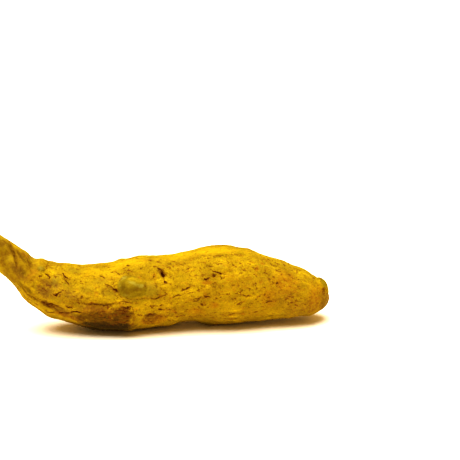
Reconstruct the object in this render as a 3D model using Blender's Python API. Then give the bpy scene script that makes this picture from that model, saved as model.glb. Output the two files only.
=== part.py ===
"""A cured turmeric finger: one plump, lumpy rhizome with a thin upturned neck where it broke from its mother.

Metres, +Z up. The finger lies along X on its flattened underside, the neck at -X, the bud tip at +X,
and the origin is on the surface below the middle of its box. A place on the skin is given by x along
the finger and by an angle round it: 0 is the top, 90 the front (-Y), 180 the underside, 270 the back.
"""

import bisect
import math

import bmesh
import bpy
from mathutils import Vector, noise

MM = 0.001
NODE = "turmeric_finger"

# The finger's build, in millimetres: x, middle y, middle z, half height, half width, lean of the section
STATIONS = (
    (-33.4, 1.7, 19.9, 2.3, 2.5, 41),
    (-28.5, 1.1, 15.6, 2.8, 3.0, 41),
    (-24.5, 0.7, 12.2, 3.3, 3.5, 38),
    (-22.2, 0.5, 9.9, 4.4, 4.5, 18),
    (-19.3, 0.3, 8.3, 5.25, 5.3, 7),
    (-16.2, 0.1, 7.55, 5.6, 5.8, 3),
    (-13.2, 0.0, 6.75, 6.1, 6.3, 0),
    (-8.0, -0.2, 6.5, 6.5, 6.8, 0),
    (-3.3, -0.2, 7.0, 7.0, 7.1, 0),
    (2.5, 0.0, 7.3, 6.8, 7.0, 0),
    (6.5, 0.2, 7.7, 6.7, 6.9, 0),
    (11.0, 0.2, 7.7, 7.5, 7.5, 0),
    (14.5, 0.1, 7.7, 7.4, 7.5, 0),
    (19.0, 0.0, 7.4, 6.7, 7.0, 0),
    (24.0, -0.3, 6.5, 5.7, 6.1, 0),
    (28.5, -0.6, 5.8, 4.9, 5.2, -4),
    (34.0, -0.8, 5.1, 3.9, 4.2, -6),
)
TIP_ROUND = 6.0  # the last stretch, over which the bud tip closes
TIP_POWER = 2.1  # 2 closes it as an ellipse, more makes it blunter
BREAK_ROUND = 1.2  # the same for the broken neck
BREAK_POWER = 3.2
BREAK_HOLLOW = 0.5  # the broken end is dished by this much
BREAK_SIZE, BREAK_HEIGHT = 1.3, 0.35  # its torn rim
BREAK_REACH = 2.5

# Buds: x, angle, half length along the finger, half width, height
BUDS = (
    (-4.9, 58, 2.5, 2.0, 0.85),
    (12.5, 44, 3.0, 1.8, 0.40),
    (10.4, 176, 2.4, 3.2, 0.60),
    (-13.5, 238, 2.4, 2.0, 0.70),
    (3.6, 292, 2.8, 2.2, 0.75),
    (20.5, 262, 2.4, 2.0, 0.50),
    (-20.9, -15, 2.0, 2.6, 0.18),
    (32.8, 20, 2.2, 1.9, 0.70),
)
BUD_POWER = 0.9
MOAT_SHARE, MOAT_REACH = 0.2, 1.6  # the shallow hollow round each bud

# Leaf-scar rings: x at the top, how far the ring drifts towards the tip at the underside, height of its lip
RINGS = (
    (-22.9, -0.3, 0.22),
    (-16.0, 0.9, 0.10),
    (-6.3, 1.2, 0.42),
    (1.8, 1.4, 0.16),
    (9.2, -0.8, 0.14),
    (18.6, 1.0, 0.20),
    (25.0, 0.8, 0.22),
    (29.6, 0.5, 0.18),
)
RING_WIDTH = 1.1
GROOVE_SHARE, GROOVE_PLACE = 0.6, 1.3  # the groove beside the lip, in lip heights and ring widths
RING_EVEN, RING_UNEVEN = 0.7, 0.5  # how much of a ring stays all round, and how much comes and goes
RING_PATCH, RING_SEED_STEP = 1.3, 3.7

# Dents: x, angle, half length, half width, depth
DENTS = (
    (1.5, 46, 1.1, 1.3, 0.60),
    (-28.5, 62, 4.6, 1.0, 0.40),
    (-28.0, 250, 4.6, 1.1, 0.40),
    (0.5, 120, 3.4, 1.6, 0.25),
    (7.0, 310, 3.0, 2.0, 0.35),
    (-9.5, 285, 3.2, 1.8, 0.35),
    (22.5, 330, 2.6, 1.6, 0.30),
    (16.0, 215, 3.4, 2.0, 0.35),
    (30.5, 95, 1.8, 1.4, 0.30),
)
DENT_POWER = 1.5

LUMP_SIZE, LUMP_HEIGHT = 6.0, 0.30  # soft swellings all over
PUCKER_SIZE, PUCKER_HEIGHT = 2.4, 0.14  # the shrunken skin's puckers
WRINKLE_LENGTH, WRINKLE_TURNS, WRINKLE_HEIGHT = 9.0, 2.6, 0.16  # shallow folds along the finger
NOISE_CLOSING = 1.5  # these fade out where an end closes

FACET = 0.78  # spacing of the rings of points
POINTS_ROUND = 52
RUN_STEPS = 1500
BREAK_RINGS, TIP_RINGS = 5, 11

SKIN_COLOUR = (0.66, 0.40, 0.02, 1.0)
SKIN_ROUGHNESS = 0.85


def clear_scene():
    for thing in list(bpy.data.objects):
        bpy.data.objects.remove(thing, do_unlink=True)


def build_at(x):
    """The station table's values at x, on smooth curves through its rows."""
    i = 0
    while i < len(STATIONS) - 2 and x > STATIONS[i + 1][0]:
        i += 1
    before, after = max(i - 1, 0), min(i + 2, len(STATIONS) - 1)
    a, b = STATIONS[i], STATIONS[i + 1]
    span = b[0] - a[0]
    t = (x - a[0]) / span
    slope_a = [(q - p) / (b[0] - STATIONS[before][0]) for p, q in zip(STATIONS[before], b)]
    slope_b = [(q - p) / (STATIONS[after][0] - a[0]) for p, q in zip(a, STATIONS[after])]
    return [
        p * (1 + 2 * t) * (1 - t) ** 2
        + q * t * t * (3 - 2 * t)
        + (ma * (1 - t) - mb * t) * span * t * (1 - t)
        for p, q, ma, mb in zip(a, b, slope_a, slope_b)
    ]


def middle(x):
    return Vector(build_at(x)[:3])


def run_along():
    """(x, distance from the broken end) at close steps along the middle line."""
    first, last = STATIONS[0][0], STATIONS[-1][0]
    table = [(first, 0.0)]
    for i in range(RUN_STEPS):
        a, b = (first + (last - first) * k / RUN_STEPS for k in (i, i + 1))
        table.append((b, table[-1][1] + (middle(b) - middle(a)).length))
    return table


RUN = run_along()
LENGTH = RUN[-1][1]


def x_at(run):
    """The x of the middle line's point at this distance from the broken end."""
    low = bisect.bisect_right(RUN, run, hi=RUN_STEPS, key=lambda place: place[1]) - 1
    (x0, s0), (x1, s1) = RUN[low], RUN[low + 1]
    return x0 + (x1 - x0) * (run - s0) / (s1 - s0)


def run_at(x):
    share = (x - RUN[0][0]) / (RUN[-1][0] - RUN[0][0])
    return RUN[round(share * (len(RUN) - 1))][1]


def closing(run, reach, power):
    """How far the section has closed: 1 along the body, and 0 at the end of the finger."""
    if run >= reach:
        return 1.0
    t = 1 - run / reach
    return max(0.0, 1 - t**power) ** (1 / power)


def smooth_skin(x, run, angle):
    """(point on the plain skin, outward direction, how far the section has closed)."""
    _, y, z, half_height, half_width, lean = build_at(x)
    lean = math.radians(lean)
    up = Vector((math.sin(lean), 0, math.cos(lean)))
    front = Vector((0, -1, 0))
    c, s = math.cos(math.radians(angle)), math.sin(math.radians(angle))
    shut = closing(run, BREAK_ROUND, BREAK_POWER) * closing(LENGTH - run, TIP_ROUND, TIP_POWER)
    point = Vector((x, y, z)) + (up * c * half_height + front * s * half_width) * shut
    out = (up * c * half_width + front * s * half_height).normalized()
    return point, out, shut


def patches(table, power):
    """(place, half length, half width, height, power) of each row, with its place as a point on the skin."""
    return [
        (smooth_skin(x, run_at(x), angle)[0], length, width, height, power)
        for x, angle, length, width, height in table
    ]


def raised(point, patch, wider=1.0):
    """The height of an oval patch at this point: full in its middle, 0 at its rim."""
    place, half_length, half_width, height, power = patch
    d = point - place
    q = math.hypot(d.x / half_length, math.hypot(d.y, d.z) / half_width) / wider
    return height * (1 - q * q) ** power if q < 1 else 0.0


def ring_relief(x, angle):
    """Leaf-scar rings: a lip with a shallow groove on its tip side, fading in and out round the finger."""
    turn = math.radians(angle)
    height = 0.0
    for number, (at_x, drift, lip) in enumerate(RINGS):
        centre = at_x + drift * (1 - math.cos(turn)) / 2
        d = (x - centre) / RING_WIDTH
        place = (math.cos(turn) * RING_PATCH, math.sin(turn) * RING_PATCH, RING_SEED_STEP * number)
        fade = RING_EVEN + RING_UNEVEN * noise.noise(place)
        height += lip * fade * (math.exp(-d * d) - GROOVE_SHARE * math.exp(-((d - GROOVE_PLACE) ** 2)))
    return height


def skin_noise(point, x, run, angle):
    """Lumps and puckers, folds drawn out along the finger, and the torn rim of the broken end."""
    turn = math.radians(angle)
    fold = (x / WRINKLE_LENGTH, math.cos(turn) * WRINKLE_TURNS, math.sin(turn) * WRINKLE_TURNS)
    torn = max(0.0, 1 - run / BREAK_REACH)
    return (
        LUMP_HEIGHT * noise.noise(point / LUMP_SIZE)
        + PUCKER_HEIGHT * noise.noise(point / PUCKER_SIZE)
        + WRINKLE_HEIGHT * noise.noise(fold)
        + BREAK_HEIGHT * torn * noise.noise(point / BREAK_SIZE)
    )


def skin_point(run, angle, buds, dents):
    x = x_at(run)
    point, out, shut = smooth_skin(x, run, angle)
    relief = ring_relief(x, angle) * shut
    relief += sum(raised(point, bud) for bud in buds)
    relief -= sum(MOAT_SHARE * raised(point, bud, wider=MOAT_REACH) for bud in buds)
    relief -= sum(raised(point, dent) for dent in dents)
    relief += skin_noise(point, x, run, angle) * min(1.0, NOISE_CLOSING * shut)
    return point + out * relief


def ring_runs():
    """How far along the finger each ring of points lies, closer together where an end closes."""
    body_end = LENGTH - TIP_ROUND
    count = round((body_end - BREAK_ROUND) / FACET)
    quarter = math.pi / 2
    runs = [BREAK_ROUND * (1 - math.cos(quarter * i / BREAK_RINGS)) for i in range(1, BREAK_RINGS)]
    runs += [BREAK_ROUND + (body_end - BREAK_ROUND) * i / count for i in range(count)]
    runs += [body_end + TIP_ROUND * math.sin(quarter * i / TIP_RINGS) for i in range(TIP_RINGS)]
    return runs


def build_skin():
    """The closed skin: rings of points joined by quads, each end closed on one point."""
    buds, dents = patches(BUDS, BUD_POWER), patches(DENTS, DENT_POWER)
    angles = [360 * i / POINTS_ROUND for i in range(POINTS_ROUND)]
    mesh = bmesh.new()
    rings = [[mesh.verts.new(skin_point(run, a, buds, dents)) for a in angles] for run in ring_runs()]
    broken_end = mesh.verts.new(middle(x_at(BREAK_HOLLOW)))
    tip = mesh.verts.new(middle(STATIONS[-1][0]))
    for a, b in zip(rings, rings[1:]):
        for i in range(POINTS_ROUND):
            mesh.faces.new((a[i - 1], a[i], b[i], b[i - 1]))
    for i in range(POINTS_ROUND):
        mesh.faces.new((broken_end, rings[0][i], rings[0][i - 1]))
        mesh.faces.new((tip, rings[-1][i - 1], rings[-1][i]))
    return mesh


def flatten_underside(mesh):
    """Cuts off what would lie below the surface, which leaves the flat spots that the finger rests on."""
    geometry = mesh.verts[:] + mesh.edges[:] + mesh.faces[:]
    bmesh.ops.bisect_plane(mesh, geom=geometry, plane_co=(0, 0, 0), plane_no=(0, 0, 1), clear_inner=True)
    bmesh.ops.holes_fill(mesh, edges=[e for e in mesh.edges if e.is_boundary])
    bmesh.ops.recalc_face_normals(mesh, faces=mesh.faces)


def centre_on_origin(mesh):
    xs = [v.co.x for v in mesh.verts]
    ys = [v.co.y for v in mesh.verts]
    shift = Vector((-(min(xs) + max(xs)) / 2, -(min(ys) + max(ys)) / 2, 0))
    bmesh.ops.translate(mesh, verts=mesh.verts, vec=shift)


def skin_material():
    material = bpy.data.materials.new("turmeric_skin")
    material.use_nodes = True
    shader = material.node_tree.nodes["Principled BSDF"]
    shader.inputs["Base Color"].default_value = SKIN_COLOUR
    shader.inputs["Roughness"].default_value = SKIN_ROUGHNESS
    shader.inputs["Metallic"].default_value = 0.0
    return material


def main():
    clear_scene()
    mesh = build_skin()
    flatten_underside(mesh)
    centre_on_origin(mesh)
    bmesh.ops.scale(mesh, verts=mesh.verts, vec=(MM, MM, MM))
    data = bpy.data.meshes.new(NODE)
    mesh.to_mesh(data)
    mesh.free()
    data.materials.append(skin_material())
    data.shade_smooth()
    finger = bpy.data.objects.new(NODE, data)
    bpy.context.scene.collection.objects.link(finger)


main()
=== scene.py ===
"""Dresses a cured turmeric finger: dusty mustard skin with brown cracks, puckers, buds and a broken neck.

It runs in Blender. Metres, +Z up, the finger along X with its broken neck at -X and its bud tip at +X.
Marks that the photograph shows are placed by its pixels, and looked up on the skin from the camera's place.
"""

import math

import bmesh
import bpy
import numpy as np
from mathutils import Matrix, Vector
from mathutils.bvhtree import BVHTree


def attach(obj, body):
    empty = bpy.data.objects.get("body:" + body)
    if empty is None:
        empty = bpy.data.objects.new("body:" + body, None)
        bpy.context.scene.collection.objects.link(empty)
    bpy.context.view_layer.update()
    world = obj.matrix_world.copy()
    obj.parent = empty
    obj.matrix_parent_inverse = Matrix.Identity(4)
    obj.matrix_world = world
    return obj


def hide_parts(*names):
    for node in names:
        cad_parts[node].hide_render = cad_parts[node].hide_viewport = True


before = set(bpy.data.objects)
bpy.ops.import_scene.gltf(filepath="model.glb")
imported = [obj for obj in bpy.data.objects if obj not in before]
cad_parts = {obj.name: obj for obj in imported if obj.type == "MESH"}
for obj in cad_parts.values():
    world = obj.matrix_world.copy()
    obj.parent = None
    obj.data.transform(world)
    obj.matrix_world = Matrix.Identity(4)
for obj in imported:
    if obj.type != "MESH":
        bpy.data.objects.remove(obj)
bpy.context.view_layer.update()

MM = 0.001
NODE = "turmeric_finger"

# The photograph and the camera that took it
PHOTO_SIDE = 460
LENS_MM, SENSOR_MM = 135.0, 36.0
CAMERA_AZIMUTH, CAMERA_ELEVATION = -8.0, 18.0
CAMERA_DISTANCE = 0.3295
CAMERA_AIM = Vector((0.0150, 0.0, 0.0188))
CLIP_START, CLIP_END = 0.01, 20.0

# The studio
FLOOR_SIZE = 4.0
FLOOR_COLOUR = (0.99, 0.92, 0.77, 1.0)
FLOOR_ROUGHNESS, FLOOR_SPECULAR = 0.9, 0.1
SKY_COLOUR = (1.0, 0.69, 0.31, 1.0)
SKY_STRENGTH = 0.59
CONTRAST = "High Contrast"
LIGHT_STRENGTH = 5.32
LIGHT_SPREAD = 62.0  # degrees across
LIGHT_FROM = (-0.22, -0.08, 1.0)

# The fine mesh of the skin
MERGE_DISTANCE = 1e-6
VOXEL = 0.20 * MM
SMOOTHING, SMOOTHING_STEPS = 0.5, 14

# How seen lines are laid: the share of their half width, the pixels between their points, the fewest points
LINE_WIDTH_SHARE = 0.70
LINE_STEP = 0.5
FEWEST_LINE_POINTS = 3

# Cracks and furrows seen in the photograph: half width and depth in millimetres, how dark, and their pixels
SEEN_LINES = {
    "neck groove": (0.40, 0.20, 0.45, ((9, 241), (11.5, 246), (14.5, 253), (16, 261), (17, 268))),
    "neck stripe one": (0.16, 0.08, 0.35, ((16.5, 251), (20, 256), (24, 262), (27, 267))),
    "neck stripe two": (0.14, 0.07, 0.30, ((20, 250), (25, 256), (29.5, 262), (32, 266))),
    "neck stripe three": (0.14, 0.07, 0.30, ((25, 252.6), (29, 257), (33.4, 261.6))),
    "neck groove behind": (0.25, 0.10, 0.25, ((18.7, 250), (23, 256.3), (26.4, 261.7), (28, 267))),
    "collar edge": (0.30, 0.12, 0.20, ((36.5, 259.6), (31, 262.6), (29.5, 267), (31.5, 272), (34, 278))),
    "collar dash": (0.20, 0.12, 0.75, ((38.4, 276.6), (40, 276), (41.6, 276.2))),
    "collar crack": (0.22, 0.14, 0.85, ((45, 273.6), (47.5, 275), (49, 276.6), (50.8, 277.8))),
    "collar top": (0.18, 0.08, 0.55, ((46, 265), (49, 266), (53, 265.2), (58, 265.6), (62, 266.4))),
    "shoulder star one": (0.24, 0.12, 0.95, ((62.6, 273.4), (64.4, 275.0), (65.4, 277.2), (68, 278.4))),
    "shoulder star two": (0.17, 0.10, 0.75, ((63.4, 279.6), (65.4, 280.4), (67.2, 282.4), (68.8, 285))),
    "shoulder star three": (0.18, 0.08, 0.75, ((69.2, 280.0), (70.4, 277.6), (71.8, 277.0))),
    "shoulder dash": (0.20, 0.10, 0.60, ((78.6, 274.8), (81, 273.2), (83.2, 274))),
    "shoulder line": (0.15, 0.07, 0.45, ((84, 276.6), (90, 276), (96.4, 276.2), (101, 276))),
    "shoulder line end": (0.20, 0.10, 0.85, ((99.5, 276), (102.5, 276.8), (104.6, 278.2))),
    "ring dash": (0.22, 0.12, 0.80, ((110.6, 272.6), (113, 272), (115, 271.4), (117, 272.8))),
    "ring dash end": (0.20, 0.10, 0.80, ((117, 273), (119, 274), (120.6, 275.2))),
    "ring curl": (0.15, 0.07, 0.45, ((108.8, 280), (111.4, 278.8), (113, 280.2), (115.4, 280))),
    "top dash": (0.18, 0.10, 0.85, ((126.2, 265.2), (127.8, 265.6), (129.6, 265.2))),
    "top line": (0.14, 0.06, 0.30, ((134.4, 258.8), (137, 258.2), (140.4, 258.6))),
    "bud line above": (0.13, 0.06, 0.35, ((125.5, 272.6), (130, 272), (134.6, 272.2))),
    "bud streak": (
        0.17, 0.12, 0.60,
        ((104.6, 283.4), (107, 285), (109.6, 285.8), (111.8, 287.4), (113.6, 288.6)),
    ),
    "bud streak end": (0.34, 0.16, 0.95, ((113, 288.4), (115.2, 289.8), (117.6, 291.0))),
    "bud streak tail": (0.15, 0.10, 0.60, ((117.2, 291.4), (118.2, 293), (119.2, 294.6))),
    "bud streak dash": (0.17, 0.10, 0.70, ((120, 297.2), (121.6, 297.6), (123, 297.4))),
    "old scar": (0.25, 0.08, 0.30, ((107, 288), (104, 290), (102.6, 292.6), (104, 295.4), (106.4, 296))),
    "plate edge": (0.14, 0.12, 0.45, ((124, 297.6), (129, 299), (134, 299.4), (144.6, 298.6), (150, 298.2))),
    "plate edge crack": (
        0.17, 0.16, 0.85,
        ((150, 298.4), (153, 299), (156, 299.2), (160, 297.2), (163.8, 295.6), (167.4, 295)),
    ),
    "plate corner": (0.14, 0.06, 0.25, ((163.4, 289), (165, 291.4), (166.4, 294), (167.8, 296))),
    "plate side": (0.16, 0.08, 0.35, ((154.4, 281), (156, 284), (156.6, 288), (158, 291.6))),
    "pit trail": (0.15, 0.12, 0.95, ((152.8, 266.6), (154.4, 267.0), (156.0, 266.8))),
    "pit trail end": (0.18, 0.14, 0.95, ((157.4, 267.8), (158.8, 269.0), (160.4, 269.2), (162.0, 271.0))),
    "pit": (0.34, 0.30, 1.00, ((162.0, 271.4), (162.6, 273.2), (163.2, 275.0), (163.8, 276.8))),
    "pit side": (0.26, 0.16, 0.95, ((161.6, 272.6), (161.8, 274.2), (162.4, 276.2))),
    "pit tail": (0.14, 0.06, 0.40, ((166.6, 276.8), (169, 277.2), (171.6, 278.4))),
    "pit root": (0.34, 0.12, 0.95, ((164.2, 280.8), (165.6, 282.6), (167.4, 283.4))),
    "pit root end": (0.20, 0.08, 0.45, ((169.6, 283.6), (171, 284.8), (172, 285.6))),
    "top freckles one": (
        0.16, 0.07, 0.40,
        ((174.6, 264.8), (179.6, 263.8), (183.4, 265.8), (187.4, 265.6), (190, 267.4)),
    ),
    "top freckles two": (0.16, 0.07, 0.40, ((182.8, 273.2), (186, 272.6), (188, 271.4), (189.4, 269.8))),
    "top freckles three": (0.14, 0.06, 0.35, ((183.6, 255.4), (186.6, 255.6))),
    "middle crack": (
        0.22, 0.13, 0.85,
        ((181.8, 291), (184.6, 289.8), (186.6, 288.8), (188.6, 287.4), (191.4, 287)),
    ),
    "middle line": (0.18, 0.10, 0.70, ((172.4, 298.2), (175.2, 296), (178, 295), (181.2, 295.4))),
    "fork one": (0.15, 0.10, 0.70, ((192.6, 299.8), (195.6, 298.6), (198, 299.2), (201.6, 297.8))),
    "fork two": (0.14, 0.10, 0.70, ((192.6, 301.6), (196, 301.4), (198.6, 300.6))),
    "nick one": (0.22, 0.12, 0.90, ((159.6, 306), (161, 305.2), (162.8, 304.2))),
    "nick two": (0.22, 0.12, 0.85, ((158.4, 309.6), (160.4, 309.2), (162, 309.6))),
    "nick three": (0.20, 0.10, 0.85, ((151.4, 307.4), (153, 308.2))),
    "nick four": (0.20, 0.10, 0.60, ((138, 309.6), (140.4, 309.2))),
    "nick five": (0.22, 0.10, 0.75, ((138, 315), (140.2, 315.6), (142.4, 315.4))),
    "nick six": (0.16, 0.07, 0.40, ((165, 312), (167.8, 312.2))),
    "nick seven": (0.15, 0.06, 0.35, ((171.4, 301), (171.2, 303.4), (172, 305.8))),
    "nick eight": (0.15, 0.06, 0.40, ((180.4, 306.6), (183, 306.2), (185.6, 306.4))),
    "nick nine": (0.16, 0.07, 0.50, ((184.8, 302.4), (186.8, 302.2))),
    "nick ten": (0.18, 0.08, 0.60, ((184.4, 311.8), (187, 311.4))),
    "nick eleven": (0.14, 0.06, 0.40, ((179.8, 313.8), (183, 312.6))),
    "low line": (
        0.20, 0.14, 0.65,
        ((118.4, 302.8), (121, 302), (123.4, 301.4), (126.6, 302.4), (132.6, 302.8)),
    ),
    "low line dot": (0.26, 0.12, 0.90, ((125.8, 302.4), (127.2, 302.6))),
    "long furrow": (
        0.38, 0.22, 0.40,
        ((79.6, 303.4), (88, 304.6), (96.4, 304.4), (103.3, 305.4), (110, 304.6), (120, 303.4)),
    ),
    "long furrow crack": (
        0.24, 0.16, 0.90,
        ((87, 304.4), (92, 304), (96, 304.6), (100, 304.8), (104, 305.8), (108, 305.2)),
    ),
    "faint furrow": (0.22, 0.08, 0.30, ((71, 300), (76, 300.6), (82, 300.2))),
    "edge furrow": (
        0.35, 0.20, 0.45,
        ((17, 283), (23, 289), (28.3, 295.2), (36.7, 300), (43, 302.2), (48, 303.4)),
    ),
    "edge furrow crack": (
        0.26, 0.20, 0.90,
        ((42.6, 303), (46, 304.6), (50.6, 303.8), (54.6, 305.2), (59, 307.4)),
    ),
    "edge furrow branch": (0.16, 0.12, 0.80, ((46, 305.6), (49.6, 307), (53.6, 307.4), (57, 309.4))),
    "edge furrow tail": (0.16, 0.10, 0.65, ((59, 307.4), (61, 308), (64, 308.8))),
    "edge furrow step": (0.20, 0.16, 0.90, ((65.6, 306.2), (68.4, 307.8), (70.6, 307), (72.8, 308.4))),
    "under furrow": (0.26, 0.18, 0.75, ((46, 312.4), (53.6, 312.6), (60.4, 313), (67.2, 313.4), (71, 312.6))),
    "under furrow crack": (
        0.24, 0.16, 0.95,
        ((70, 312.8), (73.6, 311.8), (77.2, 311.4), (79, 312.4), (81.4, 312.6)),
    ),
    "low shoulder dash": (0.18, 0.10, 0.60, ((43.6, 288.6), (45.6, 290.6), (48, 291.8))),
    "low shoulder crack": (
        0.17, 0.14, 0.95,
        ((52.4, 293.6), (55.0, 295.6), (57.4, 294.6), (59.2, 292.8), (61.6, 292.2)),
    ),
    "low shoulder crack heart": (0.26, 0.16, 0.95, ((53.6, 294.8), (55.8, 295.2), (57.4, 294.2))),
    "crust one": (
        0.15, 0.12, 1.00,
        ((120.6, 307.0), (123, 307.2), (125.4, 308.4), (128.4, 308.6), (131, 310.0)),
    ),
    "crust one dash": (0.14, 0.10, 0.90, ((126, 306.2), (129, 306.8), (131.4, 307.4))),
    "crust two": (
        0.15, 0.12, 1.00,
        ((116.6, 309.6), (119, 311.2), (123, 310.4), (125, 311.4), (129.4, 311.8)),
    ),
    "crust two dash": (0.14, 0.10, 0.90, ((118, 313.6), (121, 314.2), (124.4, 313.4))),
    "crust three": (0.16, 0.12, 1.00, ((125, 316), (128.6, 316.4), (131, 315.6))),
    "crust three dash": (0.14, 0.10, 0.90, ((122, 318.4), (125.6, 319), (129, 318.2))),
    "crust four": (0.16, 0.10, 0.80, ((108, 316.4), (112, 315.6), (117, 315.8))),
    "crust four dash": (0.15, 0.10, 0.80, ((104, 319.6), (108, 320.4), (113, 319.6))),
    "crust five": (0.16, 0.10, 0.70, ((98, 313), (103, 311.6), (108, 312))),
    "crust five dash": (0.15, 0.10, 0.70, ((88, 316), (92, 315.2), (96, 316.4))),
    "crust six": (0.16, 0.10, 0.80, ((114, 322.6), (119, 321.6), (124, 322.4), (130, 321))),
    "crust edge": (
        0.13, 0.08, 0.50,
        ((129.6, 306), (132.4, 307.4), (133.6, 311), (133.9, 316), (133.4, 321), (132.4, 325)),
    ),
    "patch crack one": (
        0.20, 0.12, 0.95,
        ((146.8, 316.8), (148.4, 315), (150.4, 313.6), (152, 314.6), (154, 314.8)),
    ),
    "patch crack left": (0.15, 0.08, 0.60, ((143.6, 321.4), (145.2, 319.4), (146.8, 316.8))),
    "patch crack two": (0.17, 0.10, 0.80, ((154, 314.8), (156, 316.2), (159, 315.8), (162.4, 316.4))),
    "patch crack three": (0.18, 0.10, 0.60, ((146, 323), (150, 323.8), (155, 323.2))),
    "crown nick one": (0.15, 0.07, 0.45, ((205.2, 253.2), (207.8, 251.4))),
    "crown nick two": (0.17, 0.09, 0.70, ((212.8, 256.4), (215, 256.4))),
    "crown nick three": (0.19, 0.10, 0.80, ((218.2, 256.6), (219.8, 256), (221.6, 255.6))),
    "crown nick four": (0.14, 0.06, 0.35, ((198.6, 250), (201.4, 249.6))),
    "crown nick five": (0.15, 0.07, 0.35, ((208.2, 262.6), (210, 259.8))),
    "crown nick six": (0.16, 0.08, 0.60, ((229.4, 261), (231.6, 262.2), (233, 264))),
    "crown nick seven": (0.14, 0.06, 0.30, ((249, 254), (251.6, 254.8))),
    "crown nick eight": (0.14, 0.06, 0.35, ((260.2, 260.4), (263, 259.6), (266, 259.8))),
    "crown bud rim": (0.18, 0.08, 0.50, ((205.6, 266.2), (208, 265.6), (211, 266), (213.8, 266.6))),
    "crown bud rim left": (0.16, 0.08, 0.55, ((199, 270.4), (200.6, 272), (202.4, 273.4))),
    "crown bud rim dash": (0.16, 0.08, 0.60, ((199.6, 268), (201.4, 268.6))),
    "crown bud crack": (
        0.17, 0.14, 1.00,
        ((212.2, 270.4), (214.4, 271.8), (217, 272.6), (220, 273.2), (223.6, 274.2)),
    ),
    "crown bud crack start": (0.13, 0.08, 0.60, ((208.6, 268.4), (210.4, 269.6), (212.2, 270.4))),
    "crown bud crack tail": (0.16, 0.08, 0.55, ((222.8, 274.4), (226, 274), (229.2, 274.6))),
    "crown crack": (0.24, 0.14, 0.95, ((203.6, 279), (206, 279.6), (208, 278.8), (209.2, 277.4))),
    "crown fork": (0.18, 0.10, 0.60, ((217.4, 276.8), (220.6, 276.6), (222.2, 278.4), (220.6, 280))),
    "right dash one": (0.19, 0.10, 0.80, ((241, 268.8), (242.6, 270), (244.6, 271))),
    "right dash two": (0.19, 0.10, 0.70, ((244.8, 287.8), (247.6, 288.2), (250.8, 289))),
    "right crack": (
        0.15, 0.10, 0.80,
        ((239.6, 293.2), (241.4, 294.8), (244, 295.6), (246.2, 296.6), (249.8, 294.4)),
    ),
    "right crack fork": (0.13, 0.08, 0.60, ((246.2, 296.4), (249, 296.2), (251.4, 295.6))),
    "low crack": (0.20, 0.12, 0.85, ((203.6, 294.8), (205, 297.2), (208, 296.8), (211, 297.2))),
    "low dash one": (0.15, 0.07, 0.50, ((206.4, 307), (208.8, 307.6))),
    "low dash two": (0.15, 0.07, 0.45, ((233.8, 303.4), (236.2, 302.8))),
    "far low crack": (0.22, 0.12, 0.90, ((266.4, 302.6), (269, 301.2), (272.2, 301.6))),
    "low furrow one": (0.30, 0.12, 0.40, ((222.6, 316), (229.8, 315), (235.4, 313.2), (244, 313.6))),
    "low furrow two": (0.24, 0.12, 0.60, ((250.8, 312.8), (255, 312), (258.4, 311))),
    "low furrow three": (0.24, 0.10, 0.40, ((193.6, 316.6), (197, 316), (201, 315.4))),
    "low furrow four": (0.20, 0.10, 0.35, ((209, 317.4), (216, 317.8))),
    "left nick one": (0.15, 0.07, 0.40, ((203, 287.4), (206, 287.2))),
    "left nick two": (0.15, 0.07, 0.40, ((189, 287.2), (191.6, 287.6))),
}

# Round marks seen in the photograph: pixels, radius and depth in millimetres, how dark
SEEN_SPOTS = {
    "pit heart low": (163.6, 275.6, 0.36, 0.26, 0.92),
    "pit foot": (163.4, 278.6, 0.22, 0.12, 0.45),
    "bud streak heart": (116.8, 291.0, 0.46, 0.18, 1.0),
    "crack heart": (56.2, 295.2, 0.32, 0.16, 1.0),
    "collar crack heart": (50.0, 277.4, 0.28, 0.10, 0.9),
    "freckle one": (153.8, 276.4, 0.22, 0.08, 0.7),
    "freckle two": (165.8, 282.6, 0.30, 0.08, 0.6),
    "freckle three": (182.8, 290.2, 0.30, 0.10, 0.8),
    "bud dot": (145.2, 286.4, 0.24, 0.06, 0.35),
    "freckle five": (233.6, 264.8, 0.26, 0.10, 0.8),
    "freckle six": (213.8, 276.0, 0.26, 0.10, 0.9),
    "freckle seven": (216.4, 298.4, 0.20, 0.06, 0.7),
    "freckle eight": (235.2, 298.6, 0.20, 0.06, 0.6),
    "freckle nine": (202.2, 304.6, 0.28, 0.10, 0.8),
    "freckle ten": (246.2, 296.6, 0.26, 0.08, 0.8),
    "freckle eleven": (265.6, 269.0, 0.22, 0.06, 0.6),
    "freckle twelve": (281.8, 275.2, 0.28, 0.08, 0.7),
    "freckle thirteen": (269.2, 279.4, 0.24, 0.06, 0.55),
    "freckle fourteen": (277.2, 283.2, 0.28, 0.08, 0.8),
    "freckle fifteen": (270.4, 284.8, 0.22, 0.06, 0.45),
    "freckle sixteen": (273.4, 277.1, 0.20, 0.06, 0.45),
    "freckle seventeen": (264.8, 294.6, 0.24, 0.06, 0.6),
    "freckle eighteen": (268.4, 296.8, 0.28, 0.06, 0.6),
    "freckle nineteen": (270.2, 293.8, 0.22, 0.06, 0.6),
    "freckle twenty": (256.4, 288.2, 0.18, 0.06, 0.5),
    "freckle twenty-one": (238.2, 284.8, 0.18, 0.06, 0.4),
    "freckle twenty-two": (81.8, 297.6, 0.26, 0.08, 0.6),
    "freckle twenty-three": (194.6, 309.2, 0.20, 0.06, 0.5),
    "freckle twenty-four": (289.8, 274.6, 0.30, 0.06, 0.5),
    "stain dot one": (101.0, 315.6, 0.30, 0.08, 0.8),
    "stain dot two": (124.4, 313.2, 0.28, 0.08, 0.8),
}

# The tints, and how many times its stated size an area of one reaches
TINTS = ("olive", "shadow", "haze", "pale", "gleam", "dusk", "stain", "crust", "orange", "light")
AREA_SPREAD = 1.5

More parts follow.
